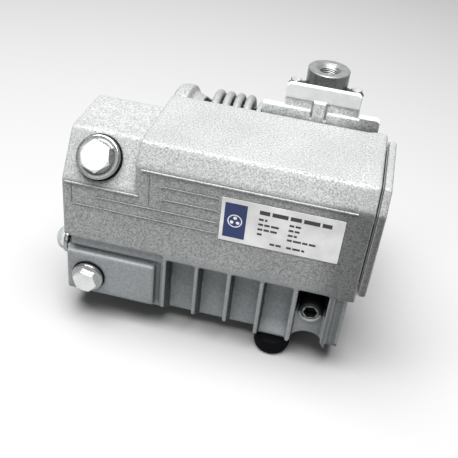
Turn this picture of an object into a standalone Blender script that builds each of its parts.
"""Oil-lubricated rotary vane vacuum pump without its motor, built as an assembly.

Frame: X runs along the oil box (+X towards its end cover), -Y is the front with the
nameplate, +Z is up.  The origin is the middle of the bounding box on the floor.
Lengths below are millimetres: x from the oil box's left end, y from its front face and
z from the floor.
"""
import math

import bmesh
import bpy
from mathutils import Matrix, Vector

MM = 0.001
GAP = 0.3                                  # kept between pieces that touch

# ---- driving dimensions ------------------------------------------------------------
FRAME_X, FRAME_Y = 124.75, 100.65          # where the frame's origin lies in x and y

FOOT_R, FOOT_H = 16.5, 16.7
UNDERSIDE_Z = FOOT_H + GAP
RIB_FOOT_Z = 30.5                          # lower end of the front face
FOOT_LUG_Z, FOOT_LUG_Y = 24.6, 10.4        # the same at the front foot, and its underside's edge

BOX_LEFT_X, STEP_X, BOX_RIGHT_X = 0.0, 63.6, 256.3
COVER_X = 264.0
BOX_BACK_Y, LEFT_BACK_Y = 101.5, 87.0
SLOPE_Z, SLOPE_TOP_Y, BOX_TOP_Z = 172.8, 11.5, 190.9
LEFT_SLOPE_Z, LEFT_SLOPE_TOP_Y, LEFT_TOP_Z = 147.2, 24.9, 184.7
WALL = 5.0
BAND_X, BAND_RISE = 243.0, 1.2             # raised rim that the end cover meets
COVER_BOTTOM_Z = 92.3

RECESS_X, RECESS_W, RECESS_PITCH, RECESS_COUNT = 93.6, 25.2, 28.8, 4
RECESS_TOP_Z, RECESS_DEPTH_TOP, RECESS_DEPTH_FOOT = 84.5, 20.0, 18.0
NICHE_X0, NICHE_X1, NICHE_DEPTH = 209.6, 236.0, 34.0
LOWER_FRONT_Y = 25.0                       # inner front wall behind the recesses

PAD_X0, PAD_X1, PAD_TOP_Z = 2.3, 83.0, 73.5
PANEL_X1, PANEL_TOP_Z, PANEL_DEPTH = 90.4, 88.5, 3.5
GROOVE_W, GROOVE_DEPTH = 4.6, 7.0

AXIS_Y, AXIS_Z = 156.5, 118.5              # rotor axis
ROTOR_R, BORE_R = 31.0, 36.5
ECCENTRICITY = BORE_R - ROTOR_R - GAP
SHAFT_R = 12.5
CYL_X0, CYL_X1, CYL_R = 148.3, 227.7, 45.0
SHAFT_X0, SHAFT_X1 = 66.0, 234.0
END_PLATE_R = 46.0
VANE_ANGLES = (0.0, 120.0, 240.0)         # from straight down towards +Y
VANE_T, VANE_R0, VANE_R1 = 3.6, 13.1, 30.7

INLET_X, INLET_Y = 194.2, 154.0
SEAT_Z, INLET_TOP_Z = 190.6, 218.2
INLET_BOSS_R, PORT_R, FLANGE_T = 19.2, 9.3, 5.6
BOLT_REACH = 28.0
PLATE_Y0, PLATE_Y1, PLATE_TOP_Z = 102.7, 110.0, 198.0
SHIELD_X0, SHIELD_X1, SHIELD_TOP_Z = 163.2, 228.1, 220.0
CHAMBER_R, CHAMBER_Z = 13.0, 172.0

LANTERN_X, LANTERN_R, CAGE_R0, CAGE_R1 = 52.0, 52.5, 40.6, 43.6
COIL_R, COIL_TUBE_R, COIL_PITCH, COIL_X = 49.0, 3.9, 10.3, 124.0

DRAIN_X, DRAIN_Z = 23.1, 49.8
GLASS_Y, GLASS_Z = 20.5, 70.0
GLASS_TIP_X = -14.5                          # the dome stands proud of the left end
NICHE_BOSS_Z, NICHE_BOSS_R = 57.5, 10.2

FILTER_Y, FILTER_Z, FILTER_R = 50.0, 142.0, 28.0

FEET = {
    "foot_front": (193.2, 18.5),
    "foot_left": (34.0, 66.0),
    "foot_rear_left": (57.0, 190.0),
    "foot_rear_right": (213.0, 190.0),
}

# ---- scene set-up -------------------------------------------------------------------
for old in list(bpy.data.objects):
    bpy.data.objects.remove(old, do_unlink=True)

PARTS = bpy.data.collections.new("rotary_vane_vacuum_pump")
TOOLS = bpy.data.collections.new("cutters")
for group in (PARTS, TOOLS):
    bpy.context.scene.collection.children.link(group)

ROOT = bpy.data.objects.new("pump_frame", None)
ROOT.location = Vector((-FRAME_X, -FRAME_Y, 0.0)) * MM
PARTS.objects.link(ROOT)

TURN = {
    "X": Matrix.Rotation(math.radians(90.0), 4, "Y"),
    "Y": Matrix.Rotation(math.radians(-90.0), 4, "X"),
    "Z": Matrix.Identity(4),
}


def principled(name, colour, roughness, metallic):
    mat = bpy.data.materials.new(name)
    mat.use_nodes = True
    shader = mat.node_tree.nodes["Principled BSDF"]
    shader.inputs["Base Color"].default_value = (*colour, 1.0)
    shader.inputs["Roughness"].default_value = roughness
    shader.inputs["Metallic"].default_value = metallic
    return mat


FINISH = {
    "casting": principled("silver_casting", (0.52, 0.54, 0.54), 0.5, 0.6),
    "zinc": principled("zinc_plated_steel", (0.8, 0.81, 0.82), 0.28, 1.0),
    "steel": principled("machined_steel", (0.6, 0.6, 0.6), 0.35, 1.0),
    "iron": principled("blackened_iron", (0.05, 0.055, 0.055), 0.5, 0.7),
    "rubber": principled("black_rubber", (0.015, 0.016, 0.018), 0.7, 0.0),
    "gasket": principled("gasket_paper", (0.2, 0.19, 0.17), 0.85, 0.0),
    "glass": principled("clear_glass", (0.93, 0.95, 0.96), 0.05, 0.0),
    "plastic": principled("grey_plastic", (0.3, 0.31, 0.32), 0.5, 0.0),
    "label": principled("label_face", (0.9, 0.9, 0.9), 0.4, 0.0),
    "filter": principled("filter_media", (0.75, 0.73, 0.66), 0.9, 0.0),
    "vane": principled("carbon_vane", (0.04, 0.04, 0.04), 0.5, 0.0),
    "tube": principled("plated_tube", (0.45, 0.47, 0.48), 0.35, 0.9),
}


# ---- building helpers ---------------------------------------------------------------
def finish(ob, key):
    ob.data.materials.clear()
    ob.data.materials.append(FINISH[key])
    ob.data.shade_smooth()
    ob.data.set_sharp_from_angle(angle=math.radians(30.0))
    return ob


def from_bmesh(name, bm, home=(0.0, 0.0, 0.0)):
    """Make an object from a mesh in millimetres, with its origin at home."""
    bmesh.ops.recalc_face_normals(bm, faces=bm.faces)
    if bm.calc_volume(signed=True) < 0.0:
        bmesh.ops.reverse_faces(bm, faces=bm.faces)
    bm.transform(Matrix.Scale(MM, 4) @ Matrix.Translation(-Vector(home)))
    mesh = bpy.data.meshes.new(name)
    bm.to_mesh(mesh)
    bm.free()
    ob = bpy.data.objects.new(name, mesh)
    ob.location = Vector(home) * MM
    ob.parent = ROOT
    PARTS.objects.link(ob)
    return ob


def box(name, low, high, home=(0.0, 0.0, 0.0), turn=Matrix.Identity(4)):
    """A block between two corners, turned afterwards about the home point."""
    bm = bmesh.new()
    bmesh.ops.create_cube(bm, size=1.0)
    size = Vector(high) - Vector(low)
    middle = (Vector(high) + Vector(low)) / 2.0
    bm.transform(Matrix.Translation(middle) @ Matrix.Diagonal((*size, 1.0)))
    about = Matrix.Translation(home)
    bm.transform(about @ turn @ about.inverted())
    return from_bmesh(name, bm, home)


def rod(name, axis, start, radius, length, segments=32, end_radius=None, spin=0.0):
    """A cylinder or cone that starts at a point and runs along +X, +Y or +Z."""
    bm = bmesh.new()
    radius2 = radius if end_radius is None else end_radius
    bmesh.ops.create_cone(bm, cap_ends=True, segments=segments, radius1=radius,
                          radius2=radius2, depth=length)
    spun = Matrix.Rotation(math.radians(spin), 4, "Z")
    bm.transform(TURN[axis] @ Matrix.Translation((0.0, 0.0, length / 2.0)) @ spun)
    bm.transform(Matrix.Translation(start))
    return from_bmesh(name, bm, start)


def turned(name, profile, axis, start, segments=32):
    """A turned piece: (radius, height) points, down the outer side, then up any bore."""
    solid = profile[0][0] == 0.0
    verts = [(radius * MM, 0.0, height * MM) for radius, height in profile]
    count = len(verts)
    edges = [(i, i + 1) for i in range(count - 1)]
    if not solid:
        edges.append((count - 1, 0))
    mesh = bpy.data.meshes.new(name)
    mesh.from_pydata(verts, edges, [])
    ob = bpy.data.objects.new(name, mesh)
    ob.parent = ROOT
    ob.matrix_local = Matrix.Translation(Vector(start) * MM) @ TURN[axis]
    PARTS.objects.link(ob)
    screw = ob.modifiers.new("turn", "SCREW")
    screw.steps = screw.render_steps = segments
    screw.use_merge_vertices = True
    screw.merge_threshold = 0.00001
    return ob


def outline(name, loops, axis, start, depth):
    """A flat plate: closed outlines (the later ones are holes) given depth along axis.

    The outline's points are (y, z) for X, (x, z) for Y and (x, y) for Z.
    """
    curve = bpy.data.curves.new(name, "CURVE")
    curve.dimensions = "2D"
    curve.fill_mode = "BOTH"
    curve.extrude = depth / 2.0 * MM
    for points in loops:
        spline = curve.splines.new("POLY")
        spline.points.add(len(points) - 1)
        for point, (u, v) in zip(spline.points, points):
            point.co = (u * MM, v * MM, 0.0, 1.0)
        spline.use_cyclic_u = True
    guide = bpy.data.objects.new(name + "_guide", curve)
    PARTS.objects.link(guide)
    bpy.context.view_layer.update()
    flat = guide.evaluated_get(bpy.context.evaluated_depsgraph_get())
    bm = bmesh.new()
    bm.from_mesh(bpy.data.meshes.new_from_object(flat))
    bpy.data.objects.remove(guide)
    bmesh.ops.remove_doubles(bm, verts=bm.verts, dist=0.00001)
    bmesh.ops.dissolve_limit(bm, angle_limit=0.001, verts=bm.verts, edges=bm.edges)
    bm.transform(Matrix.Scale(1.0 / MM, 4))
    place = {
        "X": Matrix(((0, 0, 1, 0), (1, 0, 0, 0), (0, 1, 0, 0), (0, 0, 0, 1))),
        "Y": Matrix(((1, 0, 0, 0), (0, 0, 1, 0), (0, 1, 0, 0), (0, 0, 0, 1))),
        "Z": Matrix.Identity(4),
    }[axis]
    bm.transform(place @ Matrix.Translation((0.0, 0.0, start + depth / 2.0)))
    return from_bmesh(name, bm)


def arc(centre, radius, first, last, steps):
    """Points on a circle, angles in degrees."""
    points = []
    for step in range(steps + 1):
        angle = math.radians(first + (last - first) * step / steps)
        points.append((centre[0] + radius * math.cos(angle), centre[1] + radius * math.sin(angle)))
    return points


def ring(centre, radius, steps=24):
    return arc(centre, radius, 0.0, 360.0 - 360.0 / steps, steps - 1)


def tube(name, points, radius):
    """A round tube with closed ends along a list of points."""
    curve = bpy.data.curves.new(name, "CURVE")
    curve.dimensions = "3D"
    curve.bevel_depth = radius * MM
    curve.bevel_resolution = 2
    curve.use_fill_caps = True
    spline = curve.splines.new("POLY")
    spline.points.add(len(points) - 1)
    for point, place in zip(spline.points, points):
        point.co = (*(Vector(place) * MM), 1.0)
    ob = bpy.data.objects.new(name, curve)
    ob.parent = ROOT
    PARTS.objects.link(ob)
    return ob


def combine(ob, operation, tools):
    for tool in tools:
        step = ob.modifiers.new(tool.name, "BOOLEAN")
        step.operation = operation
        step.solver = "EXACT"
        step.object = tool
        PARTS.objects.unlink(tool)
        TOOLS.objects.link(tool)
        tool.display_type = "WIRE"
        tool.hide_render = True
    return ob


def cut(ob, *tools):
    return combine(ob, "DIFFERENCE", tools)


def weld(ob, *tools):
    return combine(ob, "UNION", tools)


def soften(ob, width, segments=2):
    bevel = ob.modifiers.new("rounded edges", "BEVEL")
    bevel.width = width * MM
    bevel.segments = segments
    bevel.limit_method = "ANGLE"
    bevel.angle_limit = math.radians(30.0)
    return ob


# ---- oil box ------------------------------------------------------------------------
def box_section(rise=0.0, back=BOX_BACK_Y, bottom=None):
    """Outline of the oil box across X; rise moves its front, slope and top outwards."""
    front = -rise
    if bottom is None:
        foot = [(back, UNDERSIDE_Z), (RECESS_DEPTH_FOOT, UNDERSIDE_Z), (front, RIB_FOOT_Z)]
    else:
        foot = [(back, bottom), (front, bottom)]
    slope = math.atan2(BOX_TOP_Z - SLOPE_Z, SLOPE_TOP_Y)
    shift = rise * math.tan(slope / 2.0)
    lean = rise * math.tan((math.pi / 2.0 - slope) / 2.0)
    top = [(front, SLOPE_Z + lean), (SLOPE_TOP_Y - shift, BOX_TOP_Z + rise), (back, BOX_TOP_Z + rise)]
    return foot + top


def oil_box_housing():
    length = BOX_RIGHT_X - BOX_LEFT_X
    body = outline("oil_box_housing", [box_section()], "X", BOX_LEFT_X, length)
    rise_per_y = (LEFT_TOP_Z - LEFT_SLOPE_Z) / LEFT_SLOPE_TOP_Y
    above_left = [(-4.0, LEFT_SLOPE_Z - 4.0 * rise_per_y), (LEFT_SLOPE_TOP_Y, LEFT_TOP_Z),
                  (110.0, LEFT_TOP_Z), (110.0, 205.0), (-4.0, 205.0)]
    cut(body,
        outline("left_top_cut", [above_left], "X", -2.0, STEP_X + 2.0),
        box("left_back_cut", (-2.0, LEFT_BACK_Y, 5.0), (STEP_X, 115.0, 205.0)))
    soften(body, 1.6)
    band = outline("end_band", [box_section(BAND_RISE, bottom=RECESS_TOP_Z)], "X", BAND_X,
                   BOX_RIGHT_X - BAND_X)
    weld(body, soften(band, 0.5, 1))
    front_details(body)
    hollow_out(body)
    return finish(body, "casting")


def front_details(body):
    """Ribbed lower front, the drain plug's pad and the niche of the float valve."""
    groove_x, groove_z = PAD_X1 + GROOVE_W, PAD_TOP_Z + GROOVE_W
    cut(body,
        box("panel_cut", (-3.0, -3.0, 10.0), (PANEL_X1, PANEL_DEPTH, PANEL_TOP_Z)),
        box("groove_cut", (-3.0, -3.0, 10.0), (groove_x, GROOVE_DEPTH, groove_z)),
        box("glass_notch", (-3.0, -3.0, PAD_TOP_Z), (5.5, 14.0, PANEL_TOP_Z + 1.5)))
    slope = (RIB_FOOT_Z - UNDERSIDE_Z) / RECESS_DEPTH_FOOT
    pad_foot = RIB_FOOT_Z - slope * (GROOVE_DEPTH + 2.0)
    pad_side = [(0.0, RIB_FOOT_Z), (0.0, PAD_TOP_Z), (GROOVE_DEPTH + 2.0, PAD_TOP_Z),
                (GROOVE_DEPTH + 2.0, pad_foot)]
    pad = outline("drain_pad", [pad_side], "X", PAD_X0, PAD_X1 - PAD_X0)
    weld(body, soften(pad, 1.2, 1))
    front_left = FEET["foot_front"][0] - FOOT_R - 2.0
    foot_side = [(0.0, RIB_FOOT_Z + 4.0), (0.0, FOOT_LUG_Z), (FOOT_LUG_Y, UNDERSIDE_Z), (26.0, UNDERSIDE_Z),
                 (26.0, RIB_FOOT_Z + 4.0)]
    tip_side = [(0.0, RIB_FOOT_Z + 4.0), (0.0, FOOT_LUG_Z), (4.0, FOOT_LUG_Z), (8.0, RIB_FOOT_Z + 4.0)]
    weld(body,
         outline("foot_lug", [foot_side], "X", front_left, NICHE_X0 - front_left),
         outline("rib_tip", [tip_side], "X", NICHE_X1 + 0.1, 4.3))
    for number in range(RECESS_COUNT):
        left = RECESS_X + number * RECESS_PITCH
        recess = [(-3.0, 8.0), (-3.0, RECESS_TOP_Z), (RECESS_DEPTH_TOP, RECESS_TOP_Z)]
        if number == RECESS_COUNT - 1:
            recess += [(RECESS_DEPTH_FOOT + 0.5, 30.0), (FOOT_LUG_Y + 0.6, 20.0), (FOOT_LUG_Y + 0.2, 8.0)]
        else:
            recess += [(RECESS_DEPTH_FOOT, 8.0)]
        cut(body, outline(f"recess_{number + 1}", [recess], "X", left, RECESS_W))
    niche_x = (NICHE_X0 + NICHE_X1) / 2.0
    cut(body,
        box("niche_cut", (NICHE_X0, -3.0, NICHE_BOSS_Z - 2.0), (NICHE_X1, NICHE_DEPTH, RECESS_TOP_Z)),
        box("niche_panel", (NICHE_X0, -3.0, 8.0), (NICHE_X1, 6.2, NICHE_BOSS_Z)),
        rod("niche_arch", "Y", (niche_x + 1.6, -3.0, 18.0), 17.0, 34.0, 40),
        box("right_end_cut", (251.5, -4.0, 5.0), (260.0, 120.0, RECESS_TOP_Z - 0.5)),
        box("column_cut", (240.4, -4.0, 5.0), (260.0, 6.0, RECESS_TOP_Z - 0.5)))
    weld(body,
         rod("corner_column", "Z", (246.2, 6.2, 31.0), 5.3, 54.0, 20),
         rod("valve_boss", "Y", (niche_x, 5.0, NICHE_BOSS_Z), NICHE_BOSS_R, NICHE_DEPTH - 3.0, 32))


def hollow_out(body):
    """Inner space, cover opening, exhaust window and the bored bosses."""
    slope_inset = WALL * 0.6
    upper = [(WALL, 93.0), (WALL, SLOPE_Z - slope_inset), (SLOPE_TOP_Y + slope_inset, BOX_TOP_Z - WALL),
             (BOX_BACK_Y - WALL, BOX_TOP_Z - WALL), (BOX_BACK_Y - WALL, UNDERSIDE_Z + WALL),
             (LOWER_FRONT_Y, UNDERSIDE_Z + WALL), (LOWER_FRONT_Y, 93.0)]
    left_inset = WALL * 0.55
    left = [(WALL, 95.0), (WALL, LEFT_SLOPE_Z - left_inset),
            (LEFT_SLOPE_TOP_Y + left_inset, LEFT_TOP_Z - WALL),
            (LEFT_BACK_Y - WALL, LEFT_TOP_Z - WALL), (LEFT_BACK_Y - WALL, UNDERSIDE_Z + WALL),
            (LOWER_FRONT_Y, UNDERSIDE_Z + WALL), (LOWER_FRONT_Y, 95.0)]
    niche_x = (NICHE_X0 + NICHE_X1) / 2.0
    cut(body,
        outline("main_space", [upper], "X", STEP_X + WALL, 206.5 - STEP_X - WALL),
        outline("left_space", [left], "X", WALL, STEP_X + WALL + 1.0 - WALL),
        box("end_space", (200.0, 14.0, 104.0), (BOX_RIGHT_X + 3.0, 80.0, 181.0)),
        box("rear_sump", (200.0, 42.0, UNDERSIDE_Z + WALL), (246.5, BOX_BACK_Y - WALL, 110.0)),
        box("exhaust_window", (160.0, 90.0, 112.0), (216.0, BOX_BACK_Y + 3.0, 156.0)),
        rod("plug_bore", "Y", (niche_x, 0.0, NICHE_BOSS_Z), 7.7, 28.0, 32),
        *[rod(f"screw_hole_{n + 1}", "X", (BOX_RIGHT_X - 12.0, y, z), 3.4, 20.0, 16)
          for n, (y, z) in enumerate(COVER_SCREWS)],
        rod("drain_bore", "Y", (DRAIN_X, -4.0, DRAIN_Z), 7.3, 40.0, 24),
        rod("glass_bore", "X", (-5.0, GLASS_Y, GLASS_Z), 7.0, 15.0, 24),
        box("glass_pocket", (8.0, GLASS_Y - 7.0, GLASS_Z - 7.5), (16.0, 30.0, GLASS_Z + 7.5)),
        tilted_rod("fill_bore", 9.3, -12.0, 6.0))


FILL_CENTRE = Vector((29.5, 12.6, LEFT_SLOPE_Z + 12.6 * (LEFT_TOP_Z - LEFT_SLOPE_Z) / LEFT_SLOPE_TOP_Y))
FILL_LEAN = math.atan2(LEFT_TOP_Z - LEFT_SLOPE_Z, LEFT_SLOPE_TOP_Y)
FILL_TURN = Matrix.Rotation(FILL_LEAN, 4, "X")   # +Z becomes the slope's outward normal


def tilted_rod(name, radius, low, high, segments=32, spin=0.0):
    """A cylinder square to the left slope, between two heights above it."""
    bm = bmesh.new()
    bmesh.ops.create_cone(bm, cap_ends=True, segments=segments, radius1=radius, radius2=radius,
                          depth=high - low)
    bm.transform(Matrix.Rotation(math.radians(spin), 4, "Z"))
    bm.transform(FILL_TURN @ Matrix.Translation((0.0, 0.0, (low + high) / 2.0)))
    bm.transform(Matrix.Translation(FILL_CENTRE))
    return from_bmesh(name, bm, FILL_CENTRE)


def end_cover():
    start = BOX_RIGHT_X + 1.2
    plate = outline("end_cover", [box_section(BAND_RISE, back=89.0, bottom=COVER_BOTTOM_Z)], "X", start,
                    COVER_X - start)
    soften(plate, 1.5)
    weld(plate, rod("exhaust_boss", "X", (start - 9.5, FILTER_Y, FILTER_Z), 20.0, 11.0, 32))
    cut(plate, rod("exhaust_bore", "X", (start - 15.0, FILTER_Y, FILTER_Z), 12.2, 30.0, 32))
    for number, (y, z) in enumerate(COVER_SCREWS):
        cut(plate,
            rod(f"cover_hole_{number + 1}", "X", (start - 5.0, y, z), 3.4, 20.0, 16),
            rod(f"cover_recess_{number + 1}", "X", (SCREW_SEAT_X, y, z), 5.4, 10.0, 24))
    return finish(plate, "casting")


COVER_SCREWS = ((7.2, 99.0), (7.2, 163.0), (83.2, 99.0), (83.2, 184.0))
SCREW_SEAT_X = COVER_X - 4.2


def end_cover_gasket():
    outer = box_section(BAND_RISE - 0.8, back=88.2, bottom=COVER_BOTTOM_Z + 0.8)
    inner = [(14.6, 104.6), (79.4, 104.6), (79.4, 180.4), (14.6, 180.4)]
    holes = [ring(place, 3.4, 16) for place in COVER_SCREWS]
    gasket = outline("end_cover_gasket", [outer, inner, *holes], "X", BOX_RIGHT_X + GAP, 0.6)
    return finish(gasket, "gasket")


def hex_screw(name, axis, seat, shank_r, shank, flats, head, washer=0.0, spin=0.0):
    """A hexagon screw: the seat is under its head, and the head points along +axis."""
    corner_r = flats / math.sqrt(3.0)
    way = {"X": Vector((1, 0, 0)), "Y": Vector((0, 1, 0)), "Z": Vector((0, 0, 1))}[axis]
    seat = Vector(seat)
    screw = rod(name, axis, seat + way * washer * 0.5, corner_r, head - washer * 0.5, 6, spin=spin)
    tools = [rod(name + "_shank", axis, seat - way * shank, shank_r, shank + 1.0, 16)]
    if washer:
        tools.append(rod(name + "_washer", axis, seat, corner_r + 0.9, washer, 24))
    weld(screw, *tools)
    return finish(screw, "zinc")


def cover_screws():
    for number, (y, z) in enumerate(COVER_SCREWS):
        name = f"cover_screw_{number + 1}"
        screw = rod(name, "X", (SCREW_SEAT_X + GAP, y, z), 4.9, 3.6, 24)
        weld(screw, rod(name + "_shank", "X", (SCREW_SEAT_X - 13.0, y, z), 3.0, 14.0, 16))
        cut(screw, rod(name + "_socket", "X", (SCREW_SEAT_X + 1.6, y, z), 5.0 / math.sqrt(3.0), 6.0, 6))
        finish(screw, "zinc")


def nameplate():
    corners = [(136.5, 120.5), (235.5, 120.5), (235.5, 162.0), (136.5, 162.0)]
    return finish(outline("nameplate", [corners], "Y", -0.7, 0.4), "label")


def oil_fill_plug():
    flange, hexagon = 18.7, 24.0 / math.sqrt(3.0)
    plug = tilted_rod("oil_fill_plug", hexagon, 4.0, 15.0, 6, spin=10.0)
    soften(plug, 0.8, 1)
    weld(plug,
         soften(tilted_rod("fill_flange", flange, 2.6, 7.4, 40), 1.2, 1),
         tilted_rod("fill_thread", 8.9, -9.0, 5.0, 24))
    finish(plug, "zinc")
    seal = tilted_rod("fill_plug_seal", 19.5, GAP, 2.3, 40)
    cut(seal, tilted_rod("fill_seal_hole", 9.3, -3.0, 6.0, 24))
    finish(seal, "rubber")


def oil_drain_plug():
    x, z = DRAIN_X, DRAIN_Z
    seal = [(15.0, -GAP), (15.0, -2.0), (7.4, -2.0), (7.4, -GAP)]
    finish(turned("drain_plug_seal", seal, "Y", (x, 0.0, z), 32), "rubber")
    hexagon = 19.5 / math.sqrt(3.0)
    plug = rod("oil_drain_plug", "Y", (x, -12.2, z), hexagon, 9.0, 6, spin=18.0)
    soften(plug, 0.7, 1)
    weld(plug,
         soften(rod("drain_flange", "Y", (x, -6.0, z), 14.3, 3.7, 32), 0.8, 1),
         rod("drain_thread", "Y", (x, -4.0, z), 6.9, 20.0, 24))
    finish(plug, "zinc")


def sight_glass():
    place = (0.0, GLASS_Y, GLASS_Z)
    frame = [(6.6, 6.0), (6.6, -GAP), (13.2, -GAP), (13.2, -3.8), (12.1, -3.8), (12.1, -1.4),
             (4.6, -1.4), (4.6, 6.0)]
    finish(turned("sight_glass_frame", frame, "X", place, 28), "zinc")
    dome = [(0.0, -1.8), (11.8, -1.8)]
    dome += [(11.8 * math.cos(math.radians(a)), -4.4 + (GLASS_TIP_X + 4.4) * math.sin(math.radians(a)))
             for a in (0.0, 22.5, 45.0, 67.5)]
    dome += [(0.0, GLASS_TIP_X)]
    finish(turned("sight_glass", dome, "X", place, 28), "glass")


def access_plug():
    niche_x = (NICHE_X0 + NICHE_X1) / 2.0
    plug = soften(rod("access_plug", "Y", (niche_x, 7.0, NICHE_BOSS_Z), NICHE_BOSS_R - 2.8, 18.0, 32), 0.4, 1)
    cut(plug, rod("access_socket", "Y", (niche_x, 0.0, NICHE_BOSS_Z), 10.0 / math.sqrt(3.0), 17.0, 6))
    return finish(plug, "steel")


def feet():
    side = [(0.0, FOOT_H), (FOOT_R, FOOT_H), (FOOT_R, FOOT_H - 4.0)]
    side += [(FOOT_R - 3.6 * (1.0 - math.cos(math.radians(a))),
              FOOT_H - 4.0 - 12.7 * math.sin(math.radians(a))) for a in (30.0, 60.0, 80.0)]
    side += [(FOOT_R - 5.0, 0.0), (0.0, 0.0)]
    for name, (x, y) in FEET.items():
        finish(turned(name, side, "Z", (x, y, 0.0), 28), "rubber")


# ---- inside the oil box -----------------------------------------------------------------
def filter_parts():
    bore = 19.0
    media = [(FILTER_R, 124.0), (FILTER_R, 0.0), (bore, 0.0), (bore, 124.0)]
    finish(turned("exhaust_filter", media, "X", (118.0, FILTER_Y, FILTER_Z), 36), "filter")
    cap = [(0.0, 3.0), (18.5, 3.0), (18.5, -GAP), (FILTER_R, -GAP), (FILTER_R, -4.0), (0.0, -4.0)]
    finish(turned("filter_end_cap", cap, "X", (118.0, FILTER_Y, FILTER_Z), 36), "plastic")
    collar = [(FILTER_R, 4.0), (FILTER_R, 0.0), (12.6, 0.0), (12.6, 4.0)]
    finish(turned("filter_outlet_collar", collar, "X", (242.0 + GAP, FILTER_Y, FILTER_Z), 36), "plastic")
    bend = [(-12.0, -1.5), (0.0, 0.0), (12.0, -1.5), (12.0, -2.7), (0.0, -1.2), (-12.0, -2.7)]
    spring = [(FILTER_Z + across, 112.8 + height) for across, height in bend]
    strip = outline("filter_spring", [[(x, z) for z, x in spring]], "Y", FILTER_Y - 8.0, 16.0)
    finish(strip, "steel")


def baffle_plate():
    plate = box("baffle_plate", (12.0, 30.0, 96.0), (196.0, 80.0, 97.6))
    weld(plate, box("filter_rest", (107.6, 36.0, 97.0), (109.2, 64.0, 160.0)))
    cut(plate, *[rod(f"baffle_hole_{n + 1}", "Z", (35.0 + 32.0 * n, 55.0, 90.0), 8.0, 14.0, 16)
                 for n in range(5)])
    return finish(plate, "steel")


FLOAT_PIVOT = (206.0, 62.0, 70.0)


def float_parts():
    x, y, z = FLOAT_PIVOT
    frame = box("float_bracket", (x - 6.0, 42.3, z - 6.0), (x + 7.0, y + 9.0, z + 16.0))
    cut(frame, box("bracket_slot", (x - 12.0, y - 6.0, z - 12.0), (x + 3.0, y + 6.0, z + 12.0)),
        rod("bracket_pin_hole", "Y", (x - 1.5, y - 15.0, z), 1.8, 30.0, 12))
    finish(frame, "steel")
    finish(rod("float_pivot_pin", "Y", (x - 1.5, y - 9.6, z), 1.5, 19.2, 12), "steel")
    home = (x - 1.5, y, z)
    lever = box("float_lever", (x - 46.0, y - 3.5, z - 3.0), (x + 2.0, y + 3.5, z + 3.0), home)
    cut(lever, rod("lever_pin_hole", "Y", (x - 1.5, y - 8.0, z), 1.8, 16.0, 12))
    finish(lever, "steel")
    body = [(0.0, 12.0), (13.0, 12.0), (15.0, 8.0), (15.0, -14.0), (13.0, -18.0), (0.0, -18.0)]
    drum = turned("float", body, "Z", (x - 44.0, y, z - 16.0), 28)
    drum.data.transform(Matrix.Translation(Vector((-42.5, 0.0, -16.0)) * MM))
    drum.location = Vector(home) * MM
    drum.modifiers["turn"].object = axis_mark("float_axis", (x - 44.0, y, z - 16.0))
    finish(drum, "plastic")


def axis_mark(name, place):
    """An empty whose Z axis a turned piece turns about."""
    mark = bpy.data.objects.new(name, None)
    mark.parent = ROOT
    mark.location = Vector(place) * MM
    TOOLS.objects.link(mark)
    return mark


def oil_pickup_tube():
    points = [(128.0, 70.0, 27.0), (128.0, 70.0, 52.0)]
    points += [(128.0, 78.0 - 8.0 * math.cos(math.radians(a)), 52.0 + 8.0 * math.sin(math.radians(a)))
               for a in (30.0, 60.0)]
    points += [(128.0, 78.0, 60.0), (128.0, 96.1, 60.0)]
    return tube("oil_pickup_tube", points, 3.0)


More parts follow.
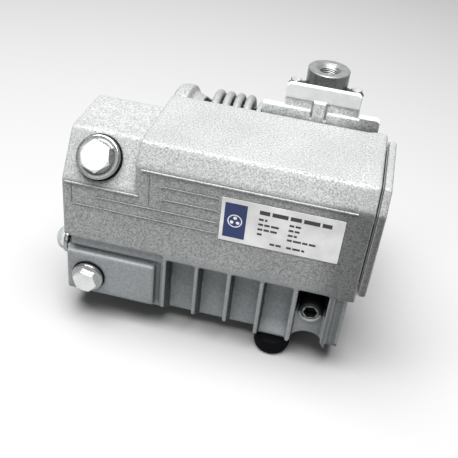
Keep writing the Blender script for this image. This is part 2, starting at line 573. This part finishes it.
# ---- pump cylinder ------------------------------------------------------------------------
def cylinder():
    length = CYL_X1 - CYL_X0
    body = rod("cylinder", "X", (CYL_X0, AXIS_Y, AXIS_Z), CYL_R, length, 48)
    left_ear = [(145.0, 40.0), (247.0, 40.0), (247.0, 199.0), (244.5, 200.6), (SHIELD_X1, 200.6),
                (SHIELD_X1, SHIELD_TOP_Z - 2.5), (SHIELD_X1 - 2.5, SHIELD_TOP_Z),
                (SHIELD_X0 + 2.5, SHIELD_TOP_Z), (SHIELD_X0, SHIELD_TOP_Z - 2.5),
                (SHIELD_X0, PLATE_TOP_Z), (145.0, PLATE_TOP_Z)]
    plate = outline("mating_plate", [left_ear], "Y", PLATE_Y0, PLATE_Y1 - PLATE_Y0)
    rib_x0, rib_x1 = 188.8, 199.1
    weld(body, plate,
         box("joining_web", (CYL_X0, PLATE_Y1 - 1.0, 88.0), (CYL_X1, AXIS_Y - 20.0, 150.0)),
         soften(box("inlet_neck", (SHIELD_X0 + 1.5, PLATE_Y1 - 1.0, 140.0), (SHIELD_X1 - 3.0, 177.0, SEAT_Z)), 2.0),
         soften(box("rear_leg", (201.0, 176.0, UNDERSIDE_Z), (225.0, 200.0, 106.0)), 3.0),
         soften(box("shield_rib", (rib_x0, PLATE_Y0, 185.0), (rib_x1, 107.0, 206.7)), 0.6, 1))
    for name, x in (("rib_groove_left", rib_x0 - 1.8), ("rib_groove_right", rib_x1)):
        cut(body, box(name, (x, 100.0, BOX_TOP_Z), (x + 1.8, 106.4, 206.0)))
    cut(body,
        box("shield_front", (150.0, 95.0, 206.5), (240.0, 104.2, 230.0)),
        box("shield_mark", (213.5, 100.0, 209.6), (214.3, 104.7, 217.0)),
        box("shield_back", (150.0, 109.0, SEAT_Z + 10.0), (240.0, 120.0, 230.0)),
        box("neck_front_left", (SHIELD_X0 - 1.0, 95.0, PLATE_TOP_Z), (rib_x0, 105.2, 206.6)),
        box("neck_front_right", (rib_x1, 95.0, PLATE_TOP_Z), (SHIELD_X1 + 1.0, 105.2, 206.6)),
        rod("cylinder_bore", "X", (CYL_X0 - 5.0, AXIS_Y, AXIS_Z - ECCENTRICITY), BORE_R, length + 10.0, 48),
        rod("valve_chamber", "Z", (INLET_X, INLET_Y, CHAMBER_Z), CHAMBER_R, 30.0, 32),
        rod("intake_port", "Z", (INLET_X, INLET_Y, 140.0), 8.0, 40.0, 24),
        rod("exhaust_port", "Y", (188.0, 98.0, AXIS_Z + 14.0), 8.0, 34.0, 24),
        rod("stop_screw_thread", "Y", (188.0, 98.0, 150.6), 2.3, 11.0, 16))
    for number, x in enumerate((INLET_X - BOLT_REACH, INLET_X + BOLT_REACH)):
        cut(body, rod(f"bolt_hole_{number + 1}", "Z", (x, INLET_Y, SEAT_Z - 14.0), 3.3, 20.0, 16))
    return finish(body, "casting")


def cylinder_gasket():
    outer = [(146.0, 42.0), (246.0, 42.0), (246.0, 186.0), (146.0, 186.0)]
    window = [(158.0, 110.0), (218.0, 110.0), (218.0, 158.0), (158.0, 158.0)]
    return finish(outline("cylinder_gasket", [outer, window], "Y", BOX_BACK_Y + GAP, 0.6), "gasket")


def end_plates():
    x = CYL_X0 - GAP
    drive = [(END_PLATE_R, 0.0), (END_PLATE_R, -9.7), (17.6, -9.7), (17.6, 0.0)]
    plate = turned("drive_end_plate", drive, "X", (x, AXIS_Y, AXIS_Z), 48)
    weld(plate, soften(box("oil_lug", (x - 9.6, 185.0, 62.0), (x - 0.1, 209.0, 92.0)), 1.5, 1))
    finish(plate, "casting")
    rear = [(END_PLATE_R, 10.0), (END_PLATE_R, 0.0), (15.3, 0.0), (15.3, 10.0)]
    finish(turned("rear_end_plate", rear, "X", (CYL_X1 + GAP, AXIS_Y, AXIS_Z), 48), "casting")
    cap = [(0.0, 6.0), (24.0, 6.0), (27.0, 3.5), (27.0, 0.0), (0.0, 0.0)]
    finish(turned("rear_bearing_cap", cap, "X", (CYL_X1 + 10.0 + 2 * GAP, AXIS_Y, AXIS_Z), 40), "casting")


def bearings():
    x = CYL_X0 - GAP
    bush = [(17.3, -0.3), (17.3, -9.4), (SHAFT_R + GAP, -9.4), (SHAFT_R + GAP, -0.3)]
    finish(turned("drive_bearing", bush, "X", (x, AXIS_Y, AXIS_Z), 32), "steel")
    bush = [(15.0, 9.7), (15.0, 0.3), (10.3, 0.3), (10.3, 9.7)]
    finish(turned("rear_bearing", bush, "X", (CYL_X1 + GAP, AXIS_Y, AXIS_Z), 32), "steel")
    seal = [(21.3, -10.3), (21.3, -14.6), (SHAFT_R + GAP, -14.6), (SHAFT_R + GAP, -10.3)]
    finish(turned("shaft_seal", seal, "X", (x, AXIS_Y, AXIS_Z), 32), "rubber")


def vane_block(name, angle, width, low_r, high_r, x0, x1):
    home = (0.0, AXIS_Y, AXIS_Z)
    low = (x0, AXIS_Y - width / 2.0, AXIS_Z - high_r)
    high = (x1, AXIS_Y + width / 2.0, AXIS_Z - low_r)
    return box(name, low, high, home, Matrix.Rotation(math.radians(angle), 4, "X"))


def rotor_and_vanes():
    body_x0, body_x1 = CYL_X0 + 0.5, CYL_X1 - 0.5
    side = [(0.0, SHAFT_X1), (9.0, SHAFT_X1), (10.0, SHAFT_X1 - 1.0), (10.0, body_x1), (ROTOR_R, body_x1),
            (ROTOR_R, body_x0), (SHAFT_R, body_x0), (SHAFT_R, SHAFT_X0 + 1.0), (SHAFT_R - 1.0, SHAFT_X0),
            (0.0, SHAFT_X0)]
    rotor = turned("rotor", side, "X", (0.0, AXIS_Y, AXIS_Z), 40)
    for number, angle in enumerate(VANE_ANGLES):
        slot = vane_block(f"slot_{number + 1}", angle, VANE_T + 2 * GAP, VANE_R0 - 0.4, ROTOR_R + 4.0,
                          body_x0 - 0.01, body_x1 + 0.01)
        cut(rotor, slot)
        vane = vane_block(f"vane_{number + 1}", angle, VANE_T, VANE_R0, VANE_R1, body_x0 + GAP, body_x1 - GAP)
        finish(vane, "vane")
    cut(rotor, box("shaft_keyway", (60.0, AXIS_Y - 3.3, AXIS_Z + 8.6), (84.3, AXIS_Y + 3.3, AXIS_Z + 20.0)))
    finish(rotor, "steel")


def exhaust_valve():
    face = PLATE_Y0 - GAP
    reed_home = (188.0, face - 0.25, 145.0)
    reed = box("exhaust_valve_reed", (172.0, face - 0.5, 120.0), (204.0, face, 146.0), reed_home)
    finish(reed, "steel")
    side = [(face - 0.8, 154.6), (face - 0.8, 145.5), (face - 5.4, 119.0), (face - 6.8, 119.4),
            (face - 2.3, 145.8), (face - 2.3, 154.6)]
    stop = outline("exhaust_valve_stop", [side], "X", 170.0, 36.0)
    screw_z = 150.6
    cut(stop, rod("stop_screw_hole", "Y", (188.0, face - 8.0, screw_z), 2.3, 14.0, 16))
    finish(stop, "steel")
    screw = rod("exhaust_valve_screw", "Y", (188.0, face - 5.6, screw_z), 3.6, 3.0, 20)
    weld(screw, rod("exhaust_valve_screw_shank", "Y", (188.0, face - 3.6, screw_z), 2.0, 9.0, 16))
    cut(screw, rod("exhaust_valve_screw_socket", "Y", (188.0, face - 7.0, screw_z), 1.9, 3.4, 6))
    finish(screw, "steel")


# ---- inlet ---------------------------------------------------------------------------------
def rhombus(end_r, middle_r):
    """Two-bolt flange outline about the inlet's axis: bolt ends joined to a round middle."""
    spread = math.degrees(math.acos((middle_r - end_r) / BOLT_REACH))
    centre = (INLET_X, INLET_Y)
    points = arc((INLET_X + BOLT_REACH, INLET_Y), end_r, -spread, spread, 6)
    points += arc(centre, middle_r, spread, 180.0 - spread, 8)
    points += arc((INLET_X - BOLT_REACH, INLET_Y), end_r, 180.0 - spread, 180.0 + spread, 6)
    points += arc(centre, middle_r, 180.0 + spread, 360.0 - spread, 8)
    return points


def inlet_parts():
    foot = SEAT_Z + 1.2
    bolt_holes = [ring((INLET_X + side * BOLT_REACH, INLET_Y), 3.4, 16) for side in (-1, 1)]
    gasket = [rhombus(6.2, 21.0), ring((INLET_X, INLET_Y), CHAMBER_R + 0.6, 32), *bolt_holes]
    finish(outline("inlet_gasket", gasket, "Z", SEAT_Z + GAP, 0.6), "gasket")
    flange = outline("inlet_flange", [rhombus(6.6, 21.4), *bolt_holes], "Z", foot, FLANGE_T)
    boss_h = INLET_TOP_Z - foot - 4.0
    boss = soften(rod("inlet_boss", "Z", (INLET_X, INLET_Y, foot + 4.0), INLET_BOSS_R, boss_h, 40), 0.8, 1)
    weld(flange, boss)
    cut(flange,
        rod("port_bore", "Z", (INLET_X, INLET_Y, foot - 5.0), PORT_R, 40.0, 32),
        rod("port_lead", "Z", (INLET_X, INLET_Y, INLET_TOP_Z - 2.6), PORT_R, 3.2, 32, PORT_R + 3.2),
        rod("disc_space", "Z", (INLET_X, INLET_Y, foot - 5.0), CHAMBER_R, 8.5, 32))
    finish(flange, "iron")
    for number, side in enumerate((-1, 1)):
        seat = (INLET_X + side * BOLT_REACH, INLET_Y, foot + FLANGE_T + GAP)
        hex_screw(f"inlet_bolt_{number + 1}", "Z", seat, 3.0, 16.0, 10.0, 5.0, 1.2, spin=8.0)
    screen = rod("inlet_screen", "Z", (INLET_X, INLET_Y, foot + 8.0), PORT_R - GAP, 1.2, 24)
    spots = [(0.0, 0.0)] + [(5.2 * math.cos(math.radians(a)), 5.2 * math.sin(math.radians(a)))
                            for a in range(0, 360, 60)]
    cut(screen, *[rod(f"screen_hole_{n + 1}", "Z", (INLET_X + u, INLET_Y + v, foot + 5.0), 1.9, 8.0, 8)
                  for n, (u, v) in enumerate(spots)])
    finish(screen, "steel")
    disc_z = foot + 3.5 - GAP
    disc = [(0.0, 0.0), (11.8, 0.0), (11.8, -2.4), (5.4, -2.4), (5.4, -4.0), (0.0, -4.0)]
    finish(turned("check_valve_disc", disc, "Z", (INLET_X, INLET_Y, disc_z), 32), "rubber")
    spring_coil(disc_z - 2.4 - GAP - 0.9, CHAMBER_Z + GAP + 0.9)


def spring_coil(top_z, low_z):
    turns, per_turn, wire = 3.0, 10, 0.8
    count = int(turns * per_turn)
    points = []
    for step in range(count + 1):
        angle = math.tau * turns * step / count
        height = low_z + (top_z - low_z) * step / count
        points.append((INLET_X + 8.9 * math.cos(angle), INLET_Y + 8.9 * math.sin(angle), height))
    return tube("check_valve_spring", points, wire)


# ---- drive side ------------------------------------------------------------------------------
def lantern():
    end = CYL_X0 - GAP - 9.7 - GAP
    side = [(48.5, end), (48.5, end - 4.7), (CAGE_R1, end - 4.7), (CAGE_R1, 78.0), (47.0, 70.0),
            (LANTERN_R, 67.0), (LANTERN_R, 59.5), (51.2, 54.7), (47.6, LANTERN_X), (35.2, LANTERN_X), (35.2, 55.3),
            (CAGE_R0, 56.5), (CAGE_R0, end - 4.7), (21.8, end - 4.7), (21.8, end)]
    frame = turned("motor_lantern", side, "X", (0.0, AXIS_Y, AXIS_Z), 40)
    weld(frame, soften(box("lantern_leg", (54.5, 177.0, UNDERSIDE_Z), (67.0, 203.0, 84.0)), 3.0))
    windows = [box("window_across", (80.0, AXIS_Y - 60.0, AXIS_Z - 26.0), (end - 6.0, AXIS_Y + 60.0, AXIS_Z + 26.0)),
               box("window_upright", (80.0, AXIS_Y - 26.0, AXIS_Z - 60.0), (end - 6.0, AXIS_Y + 26.0, AXIS_Z + 60.0))]
    cut(frame, *windows)
    for number in range(4):
        angle = math.radians(45.0 + 90.0 * number)
        y, z = AXIS_Y + 42.5 * math.cos(angle), AXIS_Z + 42.5 * math.sin(angle)
        cut(frame, rod(f"motor_hole_{number + 1}", "X", (LANTERN_X - 4.0, y, z), 2.6, 14.0, 12))
    return finish(frame, "casting")


def fan():
    hub = [(17.0, 116.0), (17.0, 90.0), (SHAFT_R + GAP, 90.0), (SHAFT_R + GAP, 116.0)]
    wheel = turned("fan", hub, "X", (0.0, AXIS_Y, AXIS_Z), 40)
    home = (0.0, AXIS_Y, AXIS_Z)
    low, high = (93.0, AXIS_Y - 1.1, AXIS_Z + 16.0), (113.0, AXIS_Y + 1.1, AXIS_Z + 38.5)
    for number in range(8):
        spin = Matrix.Rotation(math.radians(45.0 * number + 10.0), 4, "X")
        weld(wheel, box(f"blade_{number + 1}", low, high, home, spin))
    return finish(wheel, "plastic")


def sector(inner, outer, first, last, steps):
    centre = (AXIS_Y, AXIS_Z)
    return arc(centre, outer, first, last, steps) + arc(centre, inner, last, first, steps)


def coupling():
    x0, x1 = SHAFT_X0, 86.0
    body = [(22.0, x1), (22.0, x0), (SHAFT_R + GAP, x0), (SHAFT_R + GAP, x1)]
    hub = turned("coupling_hub", body, "X", (0.0, AXIS_Y, AXIS_Z), 40)
    for number in range(3):
        middle = 120.0 * number + 30.0
        jaw = sector(13.5, 21.8, middle - 17.0, middle + 17.0, 4)
        weld(hub, outline(f"jaw_{number + 1}", [jaw], "X", 55.0, x0 - 54.0))
    cut(hub, box("hub_keyway", (60.0, AXIS_Y - 3.3, AXIS_Z + 8.0), (x1 + 2.0, AXIS_Y + 3.3, AXIS_Z + 16.2)))
    finish(hub, "steel")
    star = []
    for number in range(6):
        middle = 60.0 * number
        star += arc((AXIS_Y, AXIS_Z), 21.0, middle - 7.3, middle + 7.3, 2)
        star += arc((AXIS_Y, AXIS_Z), 12.6, middle + 12.4, middle + 47.6, 4)
    spider = outline("coupling_spider", [star, ring((AXIS_Y, AXIS_Z), 7.0, 24)], "X", 54.4, 10.8)
    finish(spider, "rubber")
    key = box("shaft_key", (68.0, AXIS_Y - 3.0, AXIS_Z + 8.9), (84.0, AXIS_Y + 3.0, AXIS_Z + 15.9))
    finish(key, "steel")


def coil_point(angle):
    """A point of the cooling coil; angles grow from the top towards the back."""
    turn = math.radians(angle)
    x = COIL_X - COIL_PITCH * (angle - 24.0) / 360.0
    return (x, AXIS_Y + COIL_R * math.sin(turn), AXIS_Z + COIL_R * math.cos(turn))


def cooling_coil():
    first, last, step = -90, 1170, 20
    start, end = coil_point(first), coil_point(last)
    points = [(start[0], start[1], AXIS_Z - drop) for drop in (52.0, 40.0, 28.0, 14.0, 7.0)]
    points += [coil_point(angle) for angle in range(first, last + 1, step)]
    bend_r, low = 12.0, AXIS_Z - 30.0
    points += [(end[0], end[1], AXIS_Z - 8.0), (end[0], end[1], low)]
    points += [(end[0] + bend_r * (1.0 - math.cos(math.radians(a))), end[1],
                low - bend_r * math.sin(math.radians(a))) for a in (22.0, 45.0, 68.0, 90.0)]
    points += [(126.0, end[1], low - bend_r)]
    tube("cooling_coil", points, COIL_TUBE_R)
    low_end = (start[0], start[1], AXIS_Z - 52.0)
    elbow = rod("coil_elbow", "Z", (low_end[0], low_end[1], low_end[2] - 14.0), 5.6, 13.7, 20)
    weld(elbow, rod("elbow_stub", "Y", (low_end[0], BOX_BACK_Y + GAP, low_end[2] - 7.6), 5.0, 5.0, 20))
    finish(elbow, "zinc")
    nut = rod("coil_nut", "X", (126.0 + GAP, end[1], low - bend_r), 8.0, 11.4, 6)
    finish(nut, "zinc")


oil_box_housing()
end_cover()
end_cover_gasket()
cover_screws()
nameplate()
oil_fill_plug()
oil_drain_plug()
sight_glass()
access_plug()
feet()
filter_parts()
baffle_plate()
float_parts()
oil_pickup_tube()
cylinder()
cylinder_gasket()
end_plates()
bearings()
rotor_and_vanes()
exhaust_valve()
inlet_parts()
lantern()
fan()
coupling()
cooling_coil()
